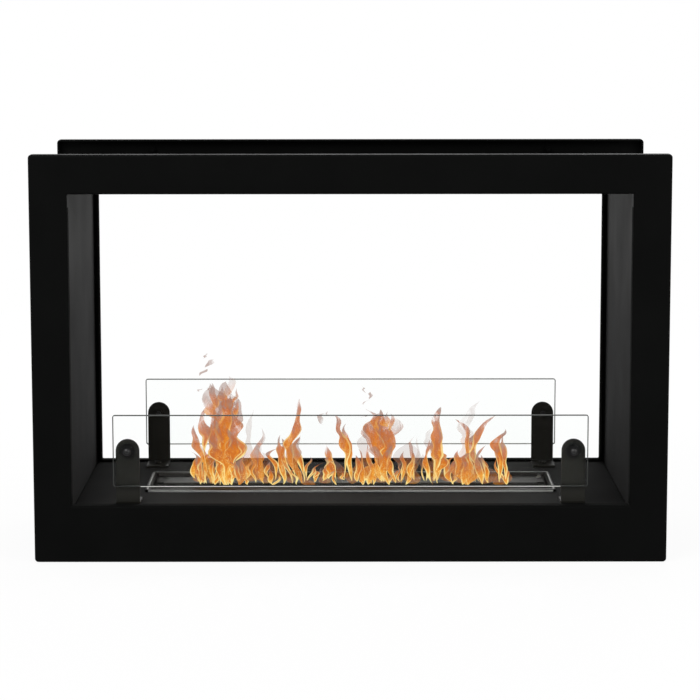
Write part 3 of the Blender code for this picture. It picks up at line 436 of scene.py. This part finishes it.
# Tongues: foot and tip across the picture, rise and half width in pixels, where along it is widest, how it
# burns and, for those that start above the slot, how far above it
TONGUES = {
    "flame_left": (
        (223, 226, 98, 11, 0.74, WARM), (226, 237, 92, 9, 0.80, WARM), (217, 218, 96, 9, 0.78, WARM),
        (222, 219, 76, 9, 0.50, HOT), (229, 233, 72, 8, 0.52, HOT), (226, 225, 88, 6, 0.60, HOT),
        (217, 224, 64, 5, 0.55, HOT), (233, 226, 58, 5, 0.50, HOT), (223, 230, 54, 4.4, 0.45, HOT),
        (229, 217, 48, 4, 0.45, HOT), (219, 213, 52, 4, 0.50, HOT), (205, 190, 60, 4.5, 0.55, HOT),
        (232, 240, 22, 5, 0.50, WARM, 76), (218, 213, 24, 5, 0.45, WARM, 74),
        (226, 224, 24, 5, 0.50, WARM, 79), (230, 234, 18, 7, 0.50, DUSK, 86),
        (238, 242, 20, 4, 0.50, WARM, 66), (214, 209, 20, 4, 0.50, WARM, 62),
        (206, 203, 74, 4, 0.80, HOT), (209, 207, 60, 7, 0.50, WARM), (201, 192, 34, 4.5, 0.50, HOT),
        (190, 205, 31, 4, 0.40, HOT), (197, 202, 44, 4, 0.45, HOT), (212, 207, 30, 2.8, 0.4, HOT),
        (214, 221, 34, 3, 0.4, HOT), (222, 217, 46, 3.5, 0.4, HOT), (229, 226, 42, 3.2, 0.4, HOT),
        (231, 240, 32, 2.6, 0.5, HOT), (238, 233, 24, 2.4, 0.4, HOT), (240, 247, 26, 2.6, 0.4, HOT),
        (241, 241, 33, 7, 0.55, WARM), (234, 229, 62, 4, 0.55, HOT),
    ),
    "flame_left_middle": (
        (250, 246, 70, 6, 0.22, DUSK), (258, 268, 51, 5.5, 0.36, WARM), (256, 262, 40, 6, 0.5, DUSK),
        (277, 268, 30, 3.4, 0.6, HOT), (273, 281, 14, 2.2, 0.4, HOT), (285, 282, 53, 4.5, 0.5, HOT),
        (293, 300, 82, 4.6, 0.58, HOT), (297, 297, 50, 5, 0.5, WARM), (288, 292, 45, 3, 0.6, HOT),
        (303, 295, 47, 3, 0.5, HOT), (306, 314, 19, 2.2, 0.4, HOT), (252, 249, 27, 2, 0.5, HOT),
        (260, 255, 18, 2, 0.5, HOT), (266, 270, 20, 2.2, 0.5, HOT),
    ),
    "flame_middle": (
        (344, 341, 66, 4.6, 0.62, HOT), (350, 343, 60, 4, 0.45, HOT), (336, 322, 38, 2.8, 0.6, HOT),
        (334, 329, 25, 6, 0.45, HOT), (316, 314, 13, 2.2, 0.4, HOT), (321, 326, 16, 2.6, 0.4, HOT),
        (328, 333, 20, 3, 0.4, HOT), (356, 368, 60, 8, 0.3, DUSK), (378, 377, 70, 11, 0.68, HOT),
        (386, 396, 64, 9, 0.76, WARM), (374, 371, 68, 9, 0.76, WARM), (381, 386, 67, 10, 0.62, HOT),
        (376, 373, 18, 4, 0.45, WARM, 56), (388, 392, 18, 4, 0.45, WARM, 52),
        (382, 383, 18, 4, 0.45, WARM, 57), (356, 352, 27, 3.4, 0.4, HOT), (362, 360, 37, 4, 0.4, HOT),
        (369, 365, 41, 4, 0.4, HOT), (377, 374, 45, 4.4, 0.4, HOT), (386, 390, 41, 4, 0.4, HOT),
        (394, 385, 34, 3.4, 0.4, HOT), (372, 372, 34, 16, 0.4, WARM), (402, 423, 50, 2.4, 0.5, DUSK),
    ),
    "flame_right_middle": (
        (402, 392, 26, 3.2, 0.6, HOT), (404, 400, 22, 3, 0.5, HOT), (411, 413, 48, 2.8, 0.4, WARM),
        (410, 412, 30, 3.4, 0.4, HOT), (414, 410, 24, 2.2, 0.4, HOT), (408, 408, 40, 12, 0.6, DUSK),
        (430, 420, 23, 2.8, 0.6, HOT), (431, 426, 46, 3.6, 0.55, HOT), (437, 441, 78, 5, 0.58, HOT),
        (440, 437, 44, 4.6, 0.5, HOT), (436, 447, 32, 3, 0.5, HOT), (444, 449, 24, 2.4, 0.4, HOT),
        (434, 430, 60, 5, 0.6, DUSK),
    ),
    "flame_right": (
        (460, 471, 80, 10, 0.35, DUSK), (474, 483, 66, 4.2, 0.66, HOT), (472, 466, 64, 3.6, 0.66, HOT),
        (458, 455, 29, 3.6, 0.5, HOT), (465, 468, 37, 4.4, 0.45, HOT), (472, 470, 45, 4.4, 0.45, HOT),
        (480, 478, 41, 3.8, 0.45, HOT), (486, 484, 30, 2.6, 0.4, HOT), (470, 470, 36, 12, 0.5, WARM),
        (497, 499, 58, 3.8, 0.5, HOT), (505, 503, 50, 3.2, 0.55, HOT), (501, 497, 30, 3, 0.5, HOT),
        (508, 507, 15, 2.6, 0.4, HOT), (452, 450, 22, 2.6, 0.4, HOT),
    ),
}
# Wisps that have broken away: place in the picture, and size in pixels
WISPS = (
    (207, 365, 2.6), (211, 373, 3.2), (204, 379, 2.6), (207, 390, 1.8), (200, 394, 1.8), (319, 425, 3.6),
    (329, 419, 1.8), (366, 395, 2.4), (369, 403, 3.0), (363, 410, 2.2), (365, 420, 1.6),
)
# How high and how wide a wisp is for its size, where along it is widest, and how it burns
WISP_RISE, WISP_WIDE, WISP_WIDEST, WISP_BURN = 2.6, 0.8, 0.5, 0.3
# Short licks all along the slot, with their places and sizes in pixels
LOW_SEED = 7
LOW_LICKS = 26
LICK_ENDS = (190, 510)
LICK_LEAN = 8
LICK_RISE = (9, 22)
LICK_WIDE = (1.4, 2.8)
LICK_WIDEST = 0.45
# Thin haze between them, likewise
HAZE_FEET = range(198, 506, 18)
HAZE_LEAN = 5
HAZE_RISE = (16, 30)
HAZE_WIDE = (6, 11)
HAZE_WIDEST = 0.28
HAZE_BURN = 1.0
# How many seeds each group of tongues has for itself, and where the wisps' seeds start
GROUP_SEEDS = 100
WISP_SEEDS = 900

# A lick's mesh: rings from foot to tip, points round each, how deep it is for its width, and the share of
# its width that its foot keeps
RINGS = 34
ROUND = 12
FLATNESS = 0.42
FOOT_WIDTH = 0.10
# How far a lick sways, hooks its tip and bends its root, and how much higher it may start, in pixels
SWAY = (1.0, 2.6)
CURL = (2.0, 7.0)
ROOT = (1.0, 3.6)
FOOT_RAGGED = 7.0
# Where along it the hook starts, and how many waves it has
HOOK_START = 0.68
TURNS = (0.9, 1.6)
# How far along Y it may start beside the slot's middle and drift, in metres, and how far it may twist
START_ASIDE = 0.0015
DRIFT = 0.012
TWIST = 0.5
# Fringe: how finely its width changes round it and up it, by how much at its foot and how much more at its
# tip, and how far apart the noises of two licks lie
FRINGE_ROUND = 0.8
FRINGE_UP = 62.0
FRINGE_LOW, FRINGE_MORE = 0.7, 0.9
FRINGE_APART = (3.7, 1.3)
# Turbulence: how finely it turns, per metre, and how far it carries a point, in metres
GUSTS = ((24.0, 0.0130), (60.0, 0.0044))
# How far below the feet it starts, and over what height it grows, in metres
GUST_RISE = (0.010, 0.050)
# How far apart the noises of two licks lie, and those for aside and up, and how much of it goes up
GUST_APART = 0.21
GUST_SHIFT = Vector((37.2, 11.5, 5.3))
GUST_UPWARD = 0.6

# Gas: its noises are drawn out upwards, and its colours run from the foot to the tip
GAS_STRETCH = (1.0, 1.0, 0.42)
CLOUD_NOISE = {"scale": 70.0, "detail": 3.0, "roughness": 0.55, "distortion": 0.9}
FINE_NOISE = {"scale": 150.0, "detail": 2.0, "roughness": 0.5, "distortion": 1.4}
HEAT_STOPS = (
    (0.0, (0.96, 0.46, 0.070)), (0.24, (0.83, 0.30, 0.030)), (0.52, (0.68, 0.18, 0.020)),
    (0.80, (0.52, 0.15, 0.050)), (1.0, (0.38, 0.22, 0.17)),
)
BRIGHT_COLOUR = (1.0, 0.80, 0.32)
# How much cooler dusky gas is, how much a bright rim hides, and how far bright gas fills the torn places
BURN_COOLS = 0.35
RIM_HIDES = 0.95
BRIGHT_FILLS = 0.4
# Ranges: where each starts and ends, and what it is there. Those called up run along a lick, from 0 at its
# foot to 1 at its tip, and those called in run in from its sides, in pixels
STREAKS_LARGE = (*NOISE_SPAN, -0.30, 0.30)
STREAKS_SMALL = (*NOISE_SPAN, -0.14, 0.14)
THREAD_OFF_RIDGE = (0.0, 0.022, 0.9, 0.0)
THREAD_UP = (0.2, 0.7, 1.0, 0.0)
RIM_IN = (0.7, 1.3, 1.0, 0.0)
RIM_UP = (0.35, 0.85, 1.0, 0.0)
RIM_BURN = (HOT, WARM, 1.0, 0.2)
SOFT_IN = (0.0, 0.35, 0.0, 1.0)
SOLID_UP = (0.3, 1.0, 0.90, 0.60)
SOLID_FOOT = (0.0, 0.25, 0.78, 1.0)
THIN_BURN = (HOT, DUSK, 1.0, 0.22)
FILLED_UP = (0.5, 1.0, 0.13, 0.02)
TORN = (0.40, 0.54, 0.12, 1.0)


def flame_look(name):
    """Glowing gas: yellow threads low down, orange higher up, and dusky thin tips."""
    tree = Tree(name)
    rise, margin, burn = (
        tree.add("Attribute", attribute_name=key).outputs["Fac"] for key in ("rise", "margin", "burn")
    )
    stretched = tree.place(GAS_STRETCH)
    cloud = tree.noise(vector=stretched, **CLOUD_NOISE)
    fine = tree.noise(vector=stretched, **FINE_NOISE)

    streaks = tree.math("ADD", tree.between(cloud, *STREAKS_LARGE), tree.between(fine, *STREAKS_SMALL))
    ramp = tree.add("ValToRGB", {
        0: tree.math("ADD", rise, streaks, tree.math("MULTIPLY", burn, BURN_COOLS)),
    })
    points = ramp.color_ramp.elements
    for place, colour in HEAT_STOPS[1:-1]:
        points.new(place)
    for point, (place, colour) in zip(points, HEAT_STOPS):
        point.position, point.color = place, rgb(*colour)

    ridge = tree.math("ABSOLUTE", tree.math("SUBTRACT", fine, NOISE_MIDDLE))
    thread = tree.math("MULTIPLY", tree.between(ridge, *THREAD_OFF_RIDGE), tree.between(rise, *THREAD_UP))
    rim = tree.math("MULTIPLY", tree.between(margin, *RIM_IN), tree.between(rise, *RIM_UP))
    rim = tree.math("MULTIPLY", rim, tree.between(burn, *RIM_BURN))
    bright = tree.math("MAXIMUM", thread, rim)
    colour = tree.blend(bright, ramp.outputs[0], rgb(*BRIGHT_COLOUR))

    solid = tree.math("MAXIMUM", tree.between(rise, *SOLID_UP), tree.math("MULTIPLY", rim, RIM_HIDES))
    filled = tree.math("ADD", tree.math("MULTIPLY", bright, BRIGHT_FILLS), tree.between(rise, *FILLED_UP))
    share = tree.math(
        "MULTIPLY",
        tree.between(margin, *SOFT_IN),
        tree.math("MULTIPLY", solid, tree.between(rise, *SOLID_FOOT)),
        tree.between(burn, *THIN_BURN),
        tree.between(tree.math("ADD", cloud, filled), *TORN),
    )
    glow = tree.add("Emission", {"Color": colour, "Strength": 1.0})
    tree.show(share, tree.add("BsdfTransparent"), glow)
    tree.nodes.remove(tree.shader)
    return tree.owner


def gust(x, z, seed):
    """How far turbulence carries a point of the flames aside and up."""
    start, full = GUST_RISE
    share = min(1.0, max(0.0, (z - FLAME_FOOT + start) / full))
    aside, up = 0.0, 0.0
    for fineness, reach in GUSTS:
        spot = Vector((x * fineness, seed * GUST_APART, z * fineness))
        aside += reach * share * noise.noise(spot)
        up += reach * share * noise.noise(spot + GUST_SHIFT) * GUST_UPWARD
    return aside, up


def through_slot(y, z):
    """The flames leave through the open part of the slot, and spread above the lid."""
    room = THROAT + SPREAD * max(0.0, z - LID_TOP)
    return SLOT_Y + max(-room, min(room, y - SLOT_Y))


def either_way(rng, least, most):
    """A random shift in pixels to one side or the other, in metres."""
    return rng.choice((-1, 1)) * rng.uniform(least, most) / FLAME_SCALE


def add_tongue(bm, layers, seed, foot, tip, rise, half_width, widest, burn, lift=0.0, coolest=0.0):
    """One lick: a closed, flattened tube along a swaying line from foot to tip, measured as in TONGUES."""
    rng = random.Random(seed)
    height = rise / FLAME_RISE
    start = (foot - CENTRE_PIXEL) / FLAME_SCALE
    lean = (tip - foot) / FLAME_SCALE
    wide = half_width / FLAME_SCALE
    sway = rng.uniform(*SWAY) / FLAME_SCALE
    curl = either_way(rng, *CURL)
    root = either_way(rng, *ROOT)
    low = FLAME_FOOT + (lift + rng.uniform(0.0, FOOT_RAGGED)) / FLAME_RISE
    turns = rng.uniform(*TURNS)
    bulge = math.log(0.5) / math.log(widest)
    phase = rng.uniform(0.0, 1.0)
    deep = SLOT_Y + rng.uniform(-START_ASIDE, START_ASIDE)
    drift = rng.uniform(-DRIFT, DRIFT)
    twist = Quaternion((0.0, 0.0, 1.0), rng.uniform(-TWIST, TWIST))
    rings = []
    for step in range(RINGS):
        along = step / (RINGS - 1)
        swing = math.sin(math.tau * (turns * along + phase)) - math.sin(math.tau * phase)
        hook = (max(0.0, along - HOOK_START) / (1.0 - HOOK_START)) ** 2
        x = start + lean * along ** 1.5 + sway * swing * along ** 0.7
        x += curl * hook + root * (1.0 - along) ** 6
        y = deep + drift * along
        z = low + height * along
        body = max(0.0, math.sin(math.pi * along ** bulge)) + FOOT_WIDTH * (1.0 - along) ** 3
        fringe = FRINGE_LOW + FRINGE_MORE * along
        ring = []
        for turn in range(ROUND):
            angle = math.tau * turn / ROUND
            across = math.cos(angle)
            spot = Vector((
                seed * FRINGE_APART[0] + across * FRINGE_ROUND, along * height * FRINGE_UP,
                seed * FRINGE_APART[1],
            ))
            reach = wide * body * (1.0 + fringe * noise.noise(spot))
            offset = Vector((across * reach, math.sin(angle) * reach * FLATNESS, 0.0))
            offset.rotate(twist)
            aside, up = gust(x + offset.x, z, seed)
            vert = bm.verts.new((x + offset.x + aside, through_slot(y + offset.y, z + up), z + up))
            vert[layers["margin"]] = (1.0 - abs(across)) * reach * FLAME_SCALE
            vert[layers["rise"]] = max(along, coolest)
            vert[layers["burn"]] = burn
            ring.append(vert)
        rings.append(ring)
    for below, above in zip(rings, rings[1:]):
        for index in range(ROUND):
            after = (index + 1) % ROUND
            bm.faces.new((below[index], below[after], above[after], above[index]))
    bm.faces.new(reversed(rings[0]))
    bm.faces.new(rings[-1])


def low_rows():
    """Short licks all along the slot and the haze between them, as rows like those of TONGUES."""
    rng = random.Random(LOW_SEED)
    rows = []
    for lick in range(LOW_LICKS):
        foot = rng.uniform(*LICK_ENDS)
        tip = foot + rng.uniform(-LICK_LEAN, LICK_LEAN)
        rows.append((foot, tip, rng.uniform(*LICK_RISE), rng.uniform(*LICK_WIDE), LICK_WIDEST, HOT))
    for foot in HAZE_FEET:
        rise, wide = rng.uniform(*HAZE_RISE), rng.uniform(*HAZE_WIDE)
        tip = foot + rng.uniform(-HAZE_LEAN, HAZE_LEAN)
        rows.append((foot, tip, rise, wide, HAZE_WIDEST, HAZE_BURN))
    return rows


def add_wisps(bm, layers):
    """Gas that has broken away from the tongues."""
    for index, (across, down, size) in enumerate(WISPS):
        add_tongue(
            bm, layers, WISP_SEEDS + index, across, across + size, WISP_RISE * size, WISP_WIDE * size,
            WISP_WIDEST, WISP_BURN, lift=FOOT_PIXEL - down, coolest=1.0,
        )


def flames():
    """One object for each group of tongues. They rise with the burner."""
    look = flame_look("flame_look")
    groups = dict(TONGUES, flame_low=low_rows())
    for number, (name, rows) in enumerate(groups.items()):
        bm = bmesh.new()
        layers = {key: bm.verts.layers.float.new(key) for key in ("rise", "margin", "burn")}
        for index, row in enumerate(rows):
            add_tongue(bm, layers, number * GROUP_SEEDS + index, *row)
        if name == "flame_low":
            add_wisps(bm, layers)
        bmesh.ops.recalc_face_normals(bm, faces=bm.faces)
        mesh = bpy.data.meshes.new(name)
        bm.to_mesh(mesh)
        bm.free()
        mesh.shade_smooth()
        mesh.materials.append(look)
        flame = bpy.data.objects.new(name, mesh)
        scene.collection.objects.link(flame)
        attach(flame, "burner")
        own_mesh(flame)


flames()


# Studio: white to the camera, plain and soft on the object

def seen_by_eye(tree):
    """1 for rays that reach the camera straight, off a shiny face or through glass."""
    path = tree.add("LightPath").outputs
    return tree.math("MAXIMUM", path["Is Camera Ray"], path["Is Glossy Ray"], path["Is Transmission Ray"])


def sky():
    """An even white world, brighter to the eye than as light."""
    tree = Tree("studio", WORLD)
    tree.set(Color=WHITE, Strength=tree.between(seen_by_eye(tree), 0.0, 1.0, WORLD_LIGHT, 1.0))
    scene.world = tree.owner


def floor():
    """A pale floor that fades to the world's white away from the object."""
    bm = bmesh.new()
    bmesh.ops.create_grid(bm, x_segments=1, y_segments=1, size=FLOOR_HALF)
    mesh = bpy.data.meshes.new("floor")
    bm.to_mesh(mesh)
    bm.free()
    ground = bpy.data.objects.new("floor", mesh)
    scene.collection.objects.link(ground)
    ground.location.z = -FLOOR_DROP
    paint = Tree("floor_look")
    paint.set(Base_Color=rgb(*FLOOR_COLOUR), Roughness=0.9, Specular_IOR_Level=0.1)
    away = paint.add("VectorMath", {0: paint.place()}, operation="LENGTH").outputs["Value"]
    share = paint.math("MULTIPLY", seen_by_eye(paint), paint.between(away, *FLOOR_FADE, FLOOR_SHOWN, 1.0))
    paint.show(share, paint.shader, paint.add("Emission", {"Color": WHITE, "Strength": 1.0}))
    mesh.materials.append(paint.owner)


def lamps():
    """Soft boxes."""
    for name, place, target, width, height, watts in LAMPS:
        data = bpy.data.lights.new(name, "AREA")
        data.shape = "RECTANGLE"
        data.size, data.size_y = width, height
        data.energy = watts
        lamp = bpy.data.objects.new(name, data)
        scene.collection.objects.link(lamp)
        lamp.location = place
        lamp.rotation_euler = (Vector(target) - Vector(place)).to_track_quat("-Z", "Y").to_euler()


def photo_camera():
    """The camera, where the photograph's stood."""
    data = bpy.data.cameras.new("camera")
    data.lens = LENS
    camera = bpy.data.objects.new("camera", data)
    scene.collection.objects.link(camera)
    camera.location = CAMERA_PLACE
    camera.rotation_euler = CAMERA_TURN
    scene.camera = camera


sky()
floor()
lamps()
photo_camera()
scene.view_settings.view_transform = "Standard"
scene.cycles.transparent_max_bounces = CLEAR_BOUNCES
